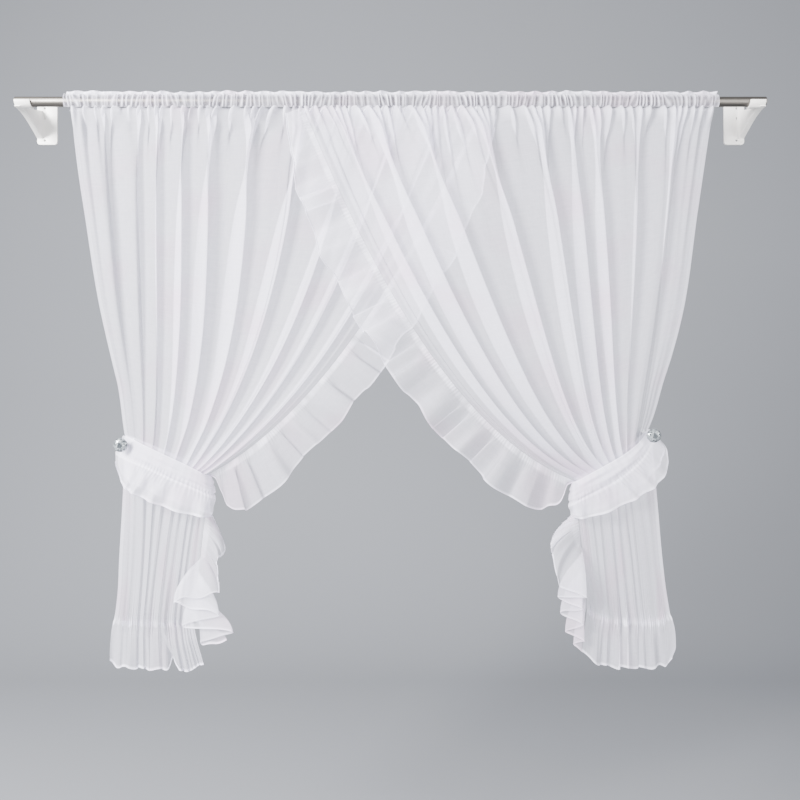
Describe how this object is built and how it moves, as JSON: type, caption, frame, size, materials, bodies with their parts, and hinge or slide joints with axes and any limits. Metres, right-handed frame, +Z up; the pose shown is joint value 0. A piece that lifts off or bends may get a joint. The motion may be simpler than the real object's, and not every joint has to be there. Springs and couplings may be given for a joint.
{
  "type": "ruffled criss-cross curtain pair on a rod with wall brackets, ties and knobs",
  "caption": "Sheer white criss-cross curtain pair, gathered on a round metal rod, with wide ruffles, ruffled ties hooked on faceted wall knobs, and wall brackets.",
  "frame": {"origin": "on the wall plane, midway between the two brackets and level with the rod's centre line", "axes": "+X to the right as seen from the room, along the rod; +Y into the wall; +Z up"},
  "size_m": [1.5504, 0.1264, 1.2105],
  "materials": {
    "voile": "sheer plain weave",
    "rod_metal": "satin",
    "bracket_plastic": "moulded, slightly glossy",
    "knob_metal": "polished",
    "crystal": "faceted and polished"
  },
  "bodies": {
    "root": {"rod": "rod_metal", "bracket_left": "bracket_plastic", "bracket_right": "bracket_plastic", "heading": "voile", "panel_left": "voile", "panel_right": "voile", "side_ruffle_left": "voile", "side_ruffle_right": "voile", "hem_ruffle_left": "voile", "hem_ruffle_right": "voile", "tie_band_left": "voile", "tie_band_right": "voile", "tie_ruffle_left": "voile", "tie_ruffle_right": "voile", "knob_stem_left": "knob_metal", "knob_stem_right": "knob_metal", "crystal_left": "crystal", "crystal_right": "crystal"}
  },
  "joints": []
}
